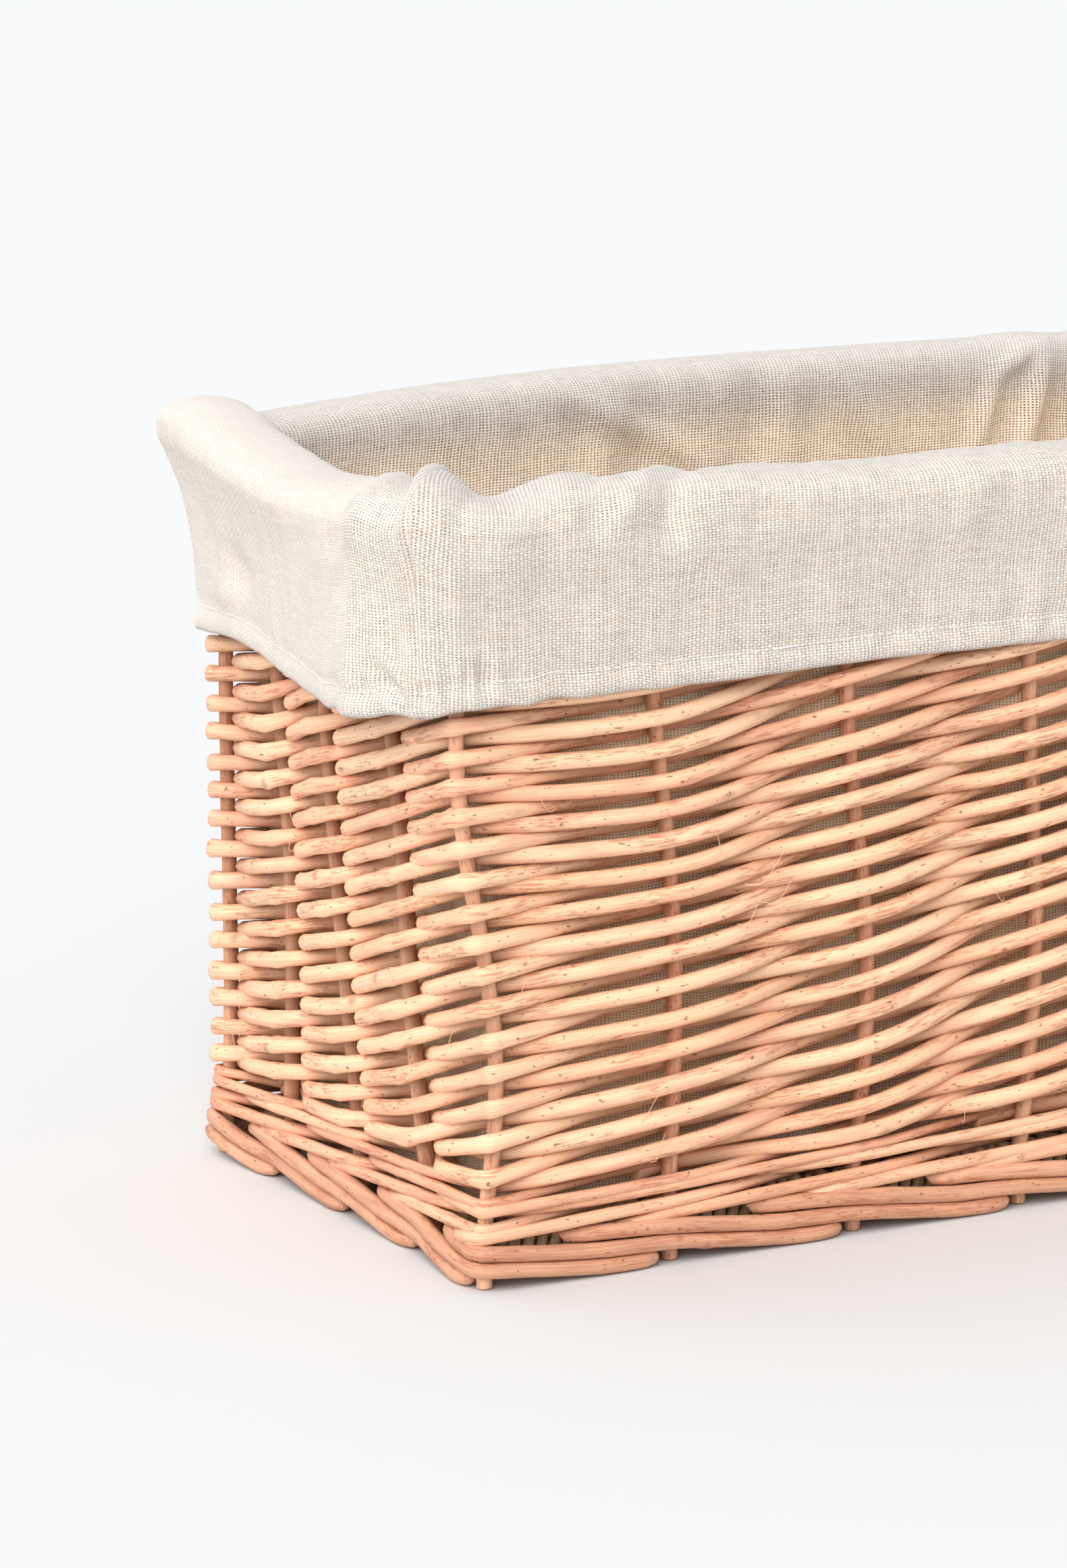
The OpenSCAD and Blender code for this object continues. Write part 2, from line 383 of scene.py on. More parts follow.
def new_material(name, **sockets):
    material = bpy.data.materials.new(name)
    material.use_nodes = True
    tree = material.node_tree
    shader = tree.nodes["Principled BSDF"]
    for socket, value in sockets.items():
        shader.inputs[socket.replace("_", " ")].default_value = value
    return material, tree, shader


def attribute(tree, name):
    return new_node(tree, "Attribute", {}, "Vector", attribute_name=name)


def parts(vector):
    node = new_node(vector.tree, "SeparateXYZ", {0: vector}).socket.node
    return [Value(vector.tree, socket) for socket in node.outputs]


def joined(x, y, z=0.0):
    return new_node(x.tree, "CombineXYZ", {0: x, 1: y, 2: z})


def scaled(vector, x, y, z):
    return new_node(vector.tree, "VectorMath", {0: vector, 1: (x, y, z)}, operation="MULTIPLY")


def noise(vector, detail=2.0, roughness=0.5):
    inputs = {"Vector": vector, "Scale": 1.0, "Detail": detail, "Roughness": roughness}
    return new_node(vector.tree, "TexNoise", inputs)


def mixed(factor, a, b):
    """Colour a, or b where the factor is 1."""
    inputs = {0: factor, 6: a, 7: b}
    return new_node(factor.tree, "Mix", inputs, 2, data_type="RGBA", clamp_factor=True)


def finish_material(tree, shader, base, bump, distance, strength=1.0):
    put(tree, shader.inputs["Base Color"], base)
    inputs = {"Strength": strength, "Distance": distance, "Height": bump}
    put(tree, shader.inputs["Normal"], new_node(tree, "Bump", inputs))


def coated(base, *coats):
    """A colour under coats of tint, each laid on by a factor from 0 to 1."""
    for factor, tint in coats:
        base = mixed(factor, base, colour(tint))
    return base


# Tints of the willow's marks; the last is painted shade for bark that lies deep in the weave
SCRATCH, SPECK, BUD, CUT_END, PAINTED_SHADE = (
    (176, 104, 74), (128, 72, 52), (150, 88, 62), (206, 160, 116), (140, 80, 50))


def willow_material(name, pale, warm, red, painted_shade_strength):
    """Peeled willow: streaks along the rod, reddish patches, specks, dark knots, cut ends, and
    painted shade, as strong as the last argument, where the rod is deep in the weave."""
    material, tree, shader = new_material(name, Roughness=0.5, Specular_IOR_Level=0.35)
    grain = attribute(tree, "grain")
    tone, hue, mark = parts(attribute(tree, "look"))
    deep = parts(attribute(tree, "deep"))[0]
    streak = noise(scaled(grain, 1500, 1500, 35), 4, 0.6)
    patch = noise(scaled(grain, 130, 130, 28), 3, 0.55)
    blush = noise(scaled(grain, 260, 260, 55), 2, 0.5)
    speck = noise(scaled(grain, 800, 800, 330), 1, 0.4)
    scratch = noise(scaled(grain, 1100, 1100, 120), 3, 0.7)
    base = mixed((tone * 0.75 + patch * 0.9 - 0.45).ramp(0.0, 1.0), colour(pale), colour(warm))
    base = coated(
        base,
        ((hue * 0.55 + blush * 1.2 - 0.72).ramp(0.0, 0.8), red),
        (streak.ramp(0.42, 0.72) * 0.36, np.array(red) * 0.78),
        (streak.ramp(0.56, 0.30) * 0.30, np.minimum(np.array(pale) * 1.06, 255)),
        ((scratch * patch.ramp(0.38, 0.60)).ramp(0.46, 0.60) * 0.6, SCRATCH),
        (speck.ramp(0.715, 0.755) * 0.75, SPECK),
        (mark.ramp(0.25, 0.95) * 0.55, BUD),
        ((mark * -1.0).ramp(0.2, 0.9) * 0.75, CUT_END),
        # Painted shade where the bark lies deep in the weave, near the line of stakes
        (deep.ramp(0.1, 0.9) * painted_shade_strength, PAINTED_SHADE),
    )
    height = streak * 0.55 + scratch * 0.3 - speck.ramp(0.66, 0.74) * 0.5
    finish_material(tree, shader, base, height, 0.22 * MM, 0.75)
    return material


PALE, WARM, RED = (253, 209, 171), (249, 190, 149), (243, 174, 143)
willow = willow_material("willow", PALE, WARM, RED, 0.36)
willow_stake = willow_material("willow_stake", (240, 192, 156), (228, 170, 134), (218, 152, 124), 0.45)
# The foot border's willow is darker and redder: partly its own colour, and partly painted shade where
# it sits near the floor
willow_foot = willow_material("willow_foot", (224, 171, 138), (206, 150, 117), (193, 131, 105), 0.6)
willow_base = willow_material("willow_base", (228, 196, 156), (214, 174, 132), (206, 154, 118), 0)

# The spacing of the linen's threads across and down, and the tints of its parts, with a grey of
# painted shade for the crest of the roll
WARP, WEFT = 1.71 * MM, 1.12 * MM
OVER_SHADE, STRIPE_SHADE, CREST_PAINTED_SHADE, CROSSING_SHADE = (
    (184, 172, 154), (196, 186, 172), (206, 202, 198), (176, 156, 132))
GOLD_FLECK, GREY_FLECK, INNER_FLECK = (228, 200, 160), (208, 202, 206), (214, 178, 130)


def linen_material(name, thread, outer_holes, inner_holes):
    """Open plain weave: uneven threads, dark gaps between them, slubs and specks of colour.
    The cloth is more open and darker behind where it lines the bag."""
    material, tree, shader = new_material(name, Roughness=0.92, Specular_IOR_Level=0.2,
                                          Sheen_Weight=0.12, Sheen_Roughness=0.6)
    cloth = attribute(tree, "cloth")
    u, v, panel = parts(cloth)
    inside = v.ramp(-2 * MM, -30 * MM)
    deep = v.ramp(-22 * MM, -44 * MM)
    drift = noise(scaled(cloth, 34, 34, 7), 2, 0.5)
    drift_on = noise(scaled(cloth, 41, 29, 11), 2, 0.5)
    fine = noise(scaled(cloth, 420, 420, 5), 1, 0.5)
    a = (u + (drift - 0.5) * (2.0 * MM) + (fine - 0.5) * (0.45 * MM)) * (1 / WARP)
    b = (v + (drift_on - 0.5) * (2.0 * MM) + (fine - 0.5) * (0.4 * MM)) * (1 / WEFT)
    column, row = a.math("FLOOR"), b.math("FLOOR")
    across = (a.math("FRACT") - 0.5).math("ABSOLUTE")
    down = (b.math("FRACT") - 0.5).math("ABSOLUTE")
    warp_slub = noise(joined(column * 3.7, v * 60.0, panel), 2, 0.6)
    weft_slub = noise(joined(row * 5.3, u * 60.0, panel + 9.0), 2, 0.6)
    warp_wide = warp_slub * 0.26 + 0.135 - inside * 0.02
    weft_wide = weft_slub * 0.26 + 0.12 - inside * 0.01
    warp = (across - warp_wide).ramp(0.06, -0.04)
    weft = (down - weft_wide).ramp(0.06, -0.04)
    gap_here = (warp.math("MAXIMUM", weft) * -1.0) + 1.0
    over = ((column + row) * 0.5).math("FRACT").math("GREATER_THAN", 0.25)
    slub = warp_slub * over + weft_slub * (over * -1.0 + 1.0)
    tint = noise(joined(column * 2.3 + row * 0.01, row * 1.9 + v * 40.0, panel), 1, 0.5)
    streaks = noise(joined(row * 0.9, u * 9.0, panel + 3.0), 2, 0.6)
    stripes = noise(joined(column * 0.9, v * 9.0, panel + 6.0), 2, 0.6)
    crown = v.ramp(26 * MM, 4 * MM) * v.ramp(-40 * MM, -22 * MM)
    base = mixed(slub.ramp(0.30, 0.72), colour(thread, 0.93), colour(thread))
    base = coated(
        base,
        (over * 0.24, OVER_SHADE),
        ((streaks + stripes - 1.0).ramp(0.0, 0.4) * 0.28, STRIPE_SHADE),
        (deep * 0.9, np.array(thread) * (1.09, 1.045, 0.99)),
        (tint.ramp(0.56, 0.72) * 0.30, GOLD_FLECK),
        (tint.ramp(0.40, 0.28) * 0.22, GREY_FLECK),
        (inside * tint.ramp(0.52, 0.64) * 0.16, INNER_FLECK),
        # Painted shade: grey laid along the crest of the roll, where the lamps light it most
        (crown * 0.6, CREST_PAINTED_SHADE),
        ((across * down).ramp(0.05, 0.16) * 0.30, CROSSING_SHADE),
    )
    patchy = noise(scaled(cloth, 26, 34, 3), 2, 0.55)
    openness = (patchy * 0.9 + fine * 0.5 - slub * 0.35).ramp(0.08, 0.46)
    cell = noise(joined(column * 1.37 + 0.4, row * 1.21 + 0.3, panel), 0, 0.5).ramp(0.36, 0.60)
    tight = panel.ramp(2.4, 2.6) * u.ramp(0.088, 0.070)
    openness = openness * (over * 0.6 + cell * 0.4) * (tight * -0.85 + 1.0)
    openness = openness.math("MAXIMUM", inside * (over * 0.25 + cell * 0.3 + 0.45))
    holes = mixed(inside, colour(outer_holes), colour(inner_holes))
    base = mixed(gap_here * openness, base, holes)
    round_warp = (across * 1.6).math("POWER", 2.0)
    round_weft = (down * 1.6).math("POWER", 2.0)
    height = (warp * (over * 1.0 + 0.2 - round_warp)).math(
        "MAXIMUM", weft * (over * -1.0 + 1.2 - round_weft))
    finish_material(tree, shader, base, height, 0.26 * MM, 0.5)
    return material


linen = linen_material("linen", (231, 223, 214), (52, 40, 30), (54, 36, 24))
# The back of the cloth is a lighter copy of the linen, with lighter gaps: painted light, for light
# through the thin cloth behind the rods
linen_back_lightened = linen_material("linen_back_lightened", (238, 229, 210), (160, 140, 112), (150, 128, 98))


def thread_material(name, tint):
    """Twisted sewing thread."""
    material, tree, shader = new_material(name, Roughness=0.75, Specular_IOR_Level=0.3)
    x, y, z = parts(attribute(tree, "grain"))
    twist = (x * 900.0 + y * 900.0 + z * 2600.0).math("SINE")
    base = mixed(twist.ramp(-1.0, 1.0), colour(tint, 0.86), colour(tint))
    finish_material(tree, shader, base, twist, 0.08 * MM, 0.8)
    return material


sewing_thread = thread_material("sewing_thread", (250, 247, 240))
elastic_band = thread_material("elastic_band", (244, 240, 232))

# ---- stakes ----

stakes = Rods()
STAKE_HEIGHTS = np.arange(1.0 * MM, 289 * MM, 5 * MM)
for k in range(COUNT):
    path = np.array([stake_point(k, z) for z in STAKE_HEIGHTS])
    size = np.linspace(1.03, 0.96, len(path)) * STAKE_R * rng.uniform(0.97, 1.03)
    stakes.add(path, size, ref=(*outward(k), 0), sides=12, slant=(0, 0))
stakes.piece("stakes", willow_stake,
             ["corner_stakes", "front_stakes", "back_stakes", "left_stakes", "right_stakes"])

# ---- woven rods ----

# Points between two stakes, and the height above which the cuff hides and holds the corners
WOVEN_STEPS, CUFF_LOW = 10, 226 * MM


def nose(k, z_last, z, off, slope):
    """The place where a rod comes out from behind the stake before k, and its way there."""
    share = min(0.42, 19 * MM / gap(k - 1))
    near = stake_point(k - 1, z_last, 2.4 * MM * (1 - 2 * is_corner(k - 1)))
    here = near + (stake_point(k, z, off * 0.8) - near) * share
    here[2] -= 0.6 * MM
    wall = STAKES[(k - 1) % COUNT][0]
    return here, unit(np.array([*(WALL_DIR[wall] + WALL_OUT[wall] * 0.36), slope]))


def woven(first, levels, sides_of, radius, rods, jitter=0.5 * MM, kinked=0.8, lead=14 * MM,
          tail=10 * MM, drop=2 * MM):
    """A rod through the stakes from the first on, at given levels, outside a stake where
    sides_of is 1 and inside where it is -1. It starts a lead before the first stake, and
    bends sharply out of the wall after each stake that it passes behind."""
    n = len(levels)
    z = np.array(levels) + rng.uniform(-jitter, jitter, n)
    slopes = np.gradient(z) / np.array([gap(first + i) for i in range(n)])
    # At each stop: its point, the tangents that arrive and leave, its kink and its radius
    stops = []
    for i in range(n):
        k, r = first + i, radius[i]
        outside, corner = sides_of[i] > 0, is_corner(k)
        short = STAKES[k % COUNT][0] in SHORT_WALLS
        off, kink = STAKE_R + r, 0.0
        before, after = gap(k - 1) * 0.9, gap(k) * 0.9
        if corner and outside:
            off += rng.uniform(0.1, 0.9) * MM if z[i] < CUFF_LOW else -0.8 * MM
            before, after, kink = 7 * MM, 9 * MM, 1.0
        elif corner:
            before, after = before * 0.5, after * 0.5
        elif outside and short and rng.uniform() < kinked:
            off += 0.8 * MM
            before, after, kink = 11 * MM, 20 * MM, 0.8
        if i > 0 and outside and sides_of[i - 1] < 0 and (short or corner):
            here, way = nose(k, z[i - 1], z[i], off, slopes[i])
            last = stops[-1]
            last[1] = last[1] * 0.8
            last[2] = last[2] * (15 * MM / np.linalg.norm(last[2]))
            stops.append([here, way * 12 * MM, way * 16 * MM, 0.35, r])
            before = min(before, gap(k - 1) * 0.55)
        way = np.array([*onward(k), slopes[i]])
        stops.append([stake_point(k, z[i], off * sides_of[i]), way * before, way * after, kink, r])
    points, arrive, leave, kinks, sizes = map(list, zip(*stops))
    start = points[0] - unit(points[0] - stake_point(first - 1, z[0])) * lead
    start[2] -= drop
    arrive[0] = unit(arrive[0]) * lead
    first_way = (points[0] - start) * 0.9
    last_way = stake_point(first + n, z[-1]) - stake_point(first + n - 1, z[-1])
    last_way = unit(last_way) * tail
    leave[-1] = last_way
    points = [start, *points, points[-1] + last_way]
    path = hermite(points, [first_way, *leave, last_way], [first_way, *arrive, last_way], WOVEN_STEPS)
    along = lengths(path)
    at = along[::WOVEN_STEPS][1:-1]
    press = np.zeros(len(path))
    for place, kink in zip(at, kinks):
        press = np.maximum(press, kink * bell(along, place, 4.5 * MM))
    path[:, 2] += np.sin(along / 0.043 + rng.uniform(0, 6)) * 0.3 * MM
    rods.add(path, np.interp(along, at, sizes), press=press, slant=rng.uniform(-0.9, 0.9, 2))


SLOTS, TAPER, CLIMB = 39, 0.11, 2
WEAVE_LOW, WEAVE_HIGH = 44 * MM, 279 * MM
# How far the weave has crept up each stake, at these heights, in millimetres
RISE_Z = [40, 60, 80, 105, 130, 155, 180, 205, 280]
RISES = {
    0: [0.5, 1.0, 1.6, 1.5, 1.2, 1.8, 1.6, 1.2, 0],
    1: [-1, -4, -5.4, -5, -5.2, -7.4, -9.8, -11.6, -4],
    2: [-2, -5, -8.2, -6.8, -7.2, -8.2, -9.4, -10.4, -4],
    3: [-1, -4, -5, -3.6, -3.8, -7, -10.6, -12.2, -4],
    4: [-1, -3, -3, -2.5, -3, -5, -7, -8, -3],
    5: [0, -1, -1, -1, -1, -2, -4, -4, -2],
    13: [0, -2, -3, -4, -4, -4, -4, -4, -2],
    14: [-1, -4, -6.5, -7.5, -7, -6.6, -6.6, -6, -2],
    15: [-1, -5, -7.5, -8, -7, -7.8, -8.6, -9.8, -3],
    16: [-1, -6, -9, -10, -9.4, -9.6, -9.4, -9.4, -3],
    17: [-1, -4.5, -6, -6, -5, -4.4, -4.4, -6.2, -2],
}
USUAL_RISE = np.array([0, -1, -1.5, -2, -2, -2, -2, -2, -1])
rises = [np.array(RISES.get(k, USUAL_RISE * rng.uniform(0.4, 1.3))) for k in range(COUNT)]


def slot_z(n, k):
    """The height of a place for a rod, at a stake."""
    if n < 0:
        return 42 * MM + n * 2.4 * MM
    t = n / (SLOTS - 1)
    z = WEAVE_LOW + (WEAVE_HIGH - WEAVE_LOW) * t * (1 + TAPER * (1 - t))
    return z + np.interp(z / MM, RISE_Z, rises[k % COUNT]) * MM


# Each rod of the siding passes in front of one stake and behind the next, climbs by CLIMB
# slots at each, and is thinner towards its tip
SIDING_SLOTS, SIDING_R = [-3, 4, 28, 38], [3.35, 3.5, 3.3, 2.6]
siding = Rods()
for k in range(COUNT):
    for n in (0, 1):
        first, slot = (k - 1, n - CLIMB) if (k + n) % 2 == 0 else (k, n)
        slots = np.arange(slot, SLOTS, CLIMB)
        side = [1 if (first + i + s) % 2 == 0 else -1 for i, s in enumerate(slots)]
        thick = rng.uniform(0.93, 1.04)
        radius = np.interp(slots, SIDING_SLOTS, SIDING_R) * MM * thick
        levels = [slot_z(s, first + i) for i, s in enumerate(slots)]
        woven(first, levels, side, radius, siding, lead=rng.uniform(12, 20) * MM)
siding.piece("siding_weave", willow,
             ["siding_front", "siding_right", "siding_back", "siding_left"])

# The rods of a wale pass in front of two stakes and behind the third
low_wale = Rods()
for k in range(COUNT):
    levels = np.array([21, 25, 28.4, 31.6, 35, 38.4]) * MM
    radius = np.linspace(2.6, 2.0, len(levels)) * MM * rng.uniform(0.93, 1.07)
    lead = gap(k - 1) * rng.uniform(0.35, 0.6)
    woven(k, levels, [1, 1, -1, 1, 1, -1], radius, low_wale, lead=lead, tail=12 * MM,
          jitter=0.8 * MM, drop=4 * MM)
low_wale.piece("bottom_wale_rods", willow_stake, ["bottom_wale"])

high_wale = Rods()
for k in range(COUNT):
    levels = np.array([282.6, 285.4, 288.2, 291]) * MM
    radius = np.linspace(2.0, 1.8, len(levels)) * MM
    woven(k, levels, [-1, 1, 1, -1], radius, high_wale, jitter=0.2 * MM, kinked=0)
high_wale.piece("top_wale_rods", willow, ["top_wale"])

# ---- borders, made of the bent ends of the stakes ----


def laid(k, stations, radius, rods, **more):
    """A rod beside the stakes. A station is the number of gaps past stake k, the distance
    out of the line of stakes, and the height, both in millimetres."""
    usual_gap = 80 * MM
    rows = [(gaps * usual_gap, out * MM, z * MM, gaps) for gaps, out, z in stations]
    dense = smooth_path(rows, 3 * MM)
    path = []
    for row in dense:
        place, out, z = row[3], row[1], row[2]
        i = math.floor(place)
        a, b = stake_point(k + i, z), stake_point(k + i + 1, z)
        share = place - i
        here = a + (b - a) * share
        toward_a = math.exp(-share / 0.12)
        toward_b = math.exp(-(1 - share) / 0.12)
        wall = WALL_OUT[STAKES[(k + i) % COUNT][0]]
        out_way = wall + (outward(k + i) - wall) * toward_a + (outward(k + i + 1) - wall) * toward_b
        out_way = out_way / np.linalg.norm(out_way)
        path.append([here[0] + out_way[0] * out, here[1] + out_way[1] * out, z])
    path = smooth_path(path, 4 * MM)
    size = np.linspace(*radius, len(path)) * MM * rng.uniform(0.97, 1.03)
    rods.add(path, size, sides=12, **more)


# The foot border's rods pass outside two stakes, and end below the rods before them
foot = Rods()
for k in range(COUNT):
    start = rng.uniform(0.42, 0.6)
    stations = [
        (start - 0.1, 1.0, 17.0), (start + 0.06, 4.6, 17.2), (1.0, 6.9, 15.7), (1.5, 6.6, 10.9),
        (2.0, 6.8, 9.0), (2.5, 6.6, 4.4), (2.76, 6.6, 3.4), (2.87, 5.0, 3.8),
    ]
    laid(k, stations, (3.4, 3.1), foot, slant=(0.7, 0.0), blunt=(False, True))
foot.piece("foot_border_rods", willow_foot, ["foot_border"])

# The top border's rods bend inwards, pass behind the next stake, and roll out over two more
border = Rods()
BORDER_STATIONS = [
    (0.0, 0.0, 287), (0.02, -0.4, 292), (0.16, -2.4, 296.4), (1.0, -6.7, 298.0),
    (2.0, 0.6, 304.6), (3.0, 7.6, 299.6), (3.35, 9.0, 296.6),
]
for k in range(COUNT):
    laid(k, BORDER_STATIONS, (3.0, 2.5), border, slant=(0.0, 0.6))
border.piece("top_border_rods", willow_stake, ["top_border"])

# ---- base ----

STICK_R, WEAVER_R, STICKS = 3.5 * MM, 2.2 * MM, 7
base_edge = base_half[1] - STICK_R - 2 * WEAVER_R
stick_y = np.linspace(-base_edge, base_edge, STICKS)
sticks = Rods()
for y in stick_y:
    x = np.arange(-base_half[0], base_half[0] + 1 * MM, 6 * MM)
    bend = np.sin(x / 0.09 + y * 90) * 0.4 * MM
    path = np.stack([x, y + bend, np.full(len(x), stick_z)], 1)
    sticks.add(path, STICK_R * 0.97, tone=rng.uniform(0, 0.4))
sticks.piece("base_stick_rods", willow_base, ["base_sticks"])

mat = Rods()
PITCH = 6.2 * MM
weavers = int(2 * (base_half[0] - 4 * MM) / PITCH)
reach_z = STICK_R + WEAVER_R + 0.1 * MM
# How a weaver turns round the outer sticks: shares of its reach, outwards and upwards
TURN = ((0.80, 0.66), (0.98, -0.35), (0.15, -1.0))
for i in range(weavers + 1):
    x = (i - weavers / 2) * PITCH
    first = 1 if i % 2 else -1
    last = first if (STICKS - 1) % 2 == 0 else -first
    rows = [(x, -base_edge - reach_z * y, stick_z + first * reach_z * z) for y, z in TURN[::-1]]
    for j, y in enumerate(stick_y):
        rows.append((x, y, stick_z + (first if j % 2 == 0 else -first) * reach_z))
    rows += [(x, base_edge + reach_z * y, stick_z + last * reach_z * z) for y, z in TURN]
    path = smooth_path(rows, 3.2 * MM)
    mat.add(path, WEAVER_R * rng.uniform(0.95, 1.03), ref=(1, 0, 0), sides=8)
mat.piece("base_weave_rods", willow_base, ["base_weavers_upper", "base_weavers_lower"])

# ---- loose fibres of bark on the weave ----

fibres = Rods()
FIBRES, FIBRE_OUT = 46, 8.4 * MM
for _ in range(FIBRES):
    k = rng.integers(0, COUNT)
    z = rng.uniform(25, 215) * MM
    share = rng.uniform(0.1, 0.9)
    length = rng.uniform(9, 26) * MM
    bend = rng.uniform(-3, 3, 2) * MM
    a, b = stake_point(k, z, FIBRE_OUT), stake_point(k + 1, z, FIBRE_OUT)
    start = a + (b - a) * share
    out = np.array([*WALL_OUT[STAKES[k][0]], 0])
    on = unit(b - a) * rng.uniform(-1, 1) * length
    curl = np.array([0, 0, length * 0.4])
    end = np.array([0, 0, length * rng.uniform(0.4, 0.8)])
    rows = [
        start - out * 2 * MM,
        start + on * 0.3 + out * 1.6 * MM,
        start + on * 0.65 + curl + out * (2.2 * MM + bend[0] * 0.3),
        start + on + end + out * 1.2 * MM,
    ]
    path = smooth_path(rows, 2 * MM)
    fibres.add(path, np.linspace(0.17, 0.08, len(path)) * MM, sides=5, rough=0.0)
fibres.piece("willow_fibres", willow)

# ---- liner ----

LONG_COLUMNS, SHORT_COLUMNS, CORNER_COLUMNS = 190, 96, 30
column_wall, column_share, column_turns = [], [], []
for wall in range(4):
    straight = LONG_COLUMNS if wall % 2 == 0 else SHORT_COLUMNS
    column_wall += [wall] * (straight + CORNER_COLUMNS)
    column_share += list(np.arange(straight) / straight)
    column_share += list(np.arange(CORNER_COLUMNS) / CORNER_COLUMNS)
    column_turns += [False] * straight + [True] * CORNER_COLUMNS
column_wall = np.array(column_wall)
column_share = np.array(column_share)
column_turns = np.array(column_turns)
COLUMNS = len(column_wall)
column_out, column_on = WALL_OUT[column_wall], WALL_DIR[column_wall]


def contour(half_x, half_y, radius):
    """Points and outward ways round a rectangle with round corners."""
    far = np.where(column_wall % 2 == 0, half_y, half_x)
    run = np.where(column_wall % 2 == 0, half_x, half_y)
    on = np.where(column_turns, run - radius, (2 * column_share - 1) * (run - radius))
    out = np.where(column_turns, far - radius, far)
    angle = column_share * math.pi / 2
    across = np.where(column_turns, np.cos(angle), 1.0)
    along = np.where(column_turns, np.sin(angle), 0.0)
    normal = column_out * across[:, None] + column_on * along[:, None]
    points = column_out * out[:, None] + column_on * on[:, None]
    points = points + np.where(column_turns, radius, 0.0)[:, None] * normal
    return points, normal


def bag_size(z):
    t = (z - bag_floor_z) / (rim_z - bag_floor_z)
    belly = 3.0 * MM * math.sin(math.pi * min(max(t, 0), 1))
    return bag_foot_x + (bag_rim_x - bag_foot_x) * t, bag_half_y - 0.6 * MM + belly


# Levels of the cloth from the floor of the bag, over the rim and down the cuff:
# half length, half depth, corner radius, height, share of the cuff, share of the crest
levels = []
for z, corner in ((25, 9), (29, 9), (40, 9), (70, 9), (110, 9), (150, 9), (190, 9), (230, 9),
                  (262, 9), (282, 10)):
    x, y = bag_size(z * MM)
    levels.append((x, y, corner * MM, max(z * MM, bag_floor_z), 0.0, max(0, (z - 225) / 90) ** 2))
for out, z, corner, cuff, crest in (
    (-11.6, 296, 11, 0.0, 0.75), (-11.0, 303, 12, 0.1, 0.95), (-8.4, 308.6, 13, 0.2, 1.0),
    (-3.0, 311.8, 14, 0.4, 1.0), (4.0, 312.9, 16, 0.6, 1.0), (12.0, 312.4, 19, 0.8, 1.0),
    (19.5, 310.3, 22, 1.0, 0.95), (25.0, 306.6, 23, 1.0, 0.85), (26.6, 301.0, 22, 1.0, 0.7),
    (24.4, 294.0, 20, 1.0, 0.5), (21.0, 284.5, 18, 1.0, 0.3), (17.6, 272.0, 16, 1.0, 0.12),
    (15.4, 258.0, 15, 1.0, 0.0), (14.2, 248.0, 14, 1.0, 0.0), (13.2, 242.0, 13.5, 1.0, 0.0),
    (14.2, 238.0, 14, 1.0, 0.0), (14.0, 233.4, 14, 1.0, 0.0), (13.0, 232.0, 13, 1.0, 0.0),
    (12.1, 233.4, 12.5, 1.0, 0.0), (11.7, 238.0, 12.5, 1.0, 0.0), (12.0, 241.8, 12.5, 1.0, 0.0),
):
    size = half(z * MM) + out * MM
    levels.append((size[0], size[1], corner * MM, z * MM, cuff, crest))
levels = np.array(levels)
# The places in that list of the crest, the line of stitches and the hem's fold
CREST, STITCH, HEM = 14, 24, 27


def refine(rows, step):
    """More rows between those given, about a step apart, and where each given row went."""
    flat = np.stack([rows[:, 1], rows[:, 3]], 1)
    chords = np.maximum(np.linalg.norm(np.diff(flat, axis=0), axis=1), 1e-6)
    slopes = np.zeros_like(rows)
    steps = np.diff(rows, axis=0) / chords[:, None]
    slopes[1:-1] = (steps[:-1] * chords[1:, None] + steps[1:] * chords[:-1, None]) / (
        chords[1:] + chords[:-1])[:, None]
    slopes[0], slopes[-1] = steps[0], steps[-1]
    made, places = [], [0]
    for i, chord in enumerate(chords):
        count = max(1, round(chord / step(rows[i, 3], rows[i, 4])))
        leave, arrive = [slopes[i] * chord] * 2, [slopes[i + 1] * chord] * 2
        made.append(hermite(rows[i:i + 2], leave, arrive, count)[:-1])
        places.append(places[-1] + len(made[-1]))
    made.append(rows[-1][None])
    return np.concatenate(made), places


rows, placed = refine(levels, lambda z, cuff: 2.0 * MM if cuff > 0.5 or z > 0.29 else 3.4 * MM)
crest_row, stitch_row, hem_row = placed[CREST], placed[STITCH], placed[HEM]
ROWS = len(rows)
base_points = np.zeros((ROWS, COLUMNS, 2))
normals = np.zeros((ROWS, COLUMNS, 2))
for i, row in enumerate(rows):
    base_points[i], normals[i] = contour(*row[:3])
x_at, y_at = base_points[..., 0], base_points[..., 1]
z_at = np.broadcast_to(rows[:, 3:4], x_at.shape)
cuff_at = np.broadcast_to(rows[:, 4:5], x_at.shape)
crest_at = np.broadcast_to(rows[:, 5:6], x_at.shape)
facing = [np.clip(normals @ out, 0, 1) ** 2 for out in WALL_OUT]
FRONT, RIGHT, BACK, LEFT = range(4)
side_along = [x_at, y_at, x_at, y_at]


def soft_line(where, places, values):
    """The height of a smooth line through values at places, both in millimetres."""
    shifts = (-9, -4.5, 0, 4.5, 9)
    soft = 0
    for shift in shifts:
        soft = soft + np.interp(where / MM + shift, places, values) / len(shifts)
    return soft * MM


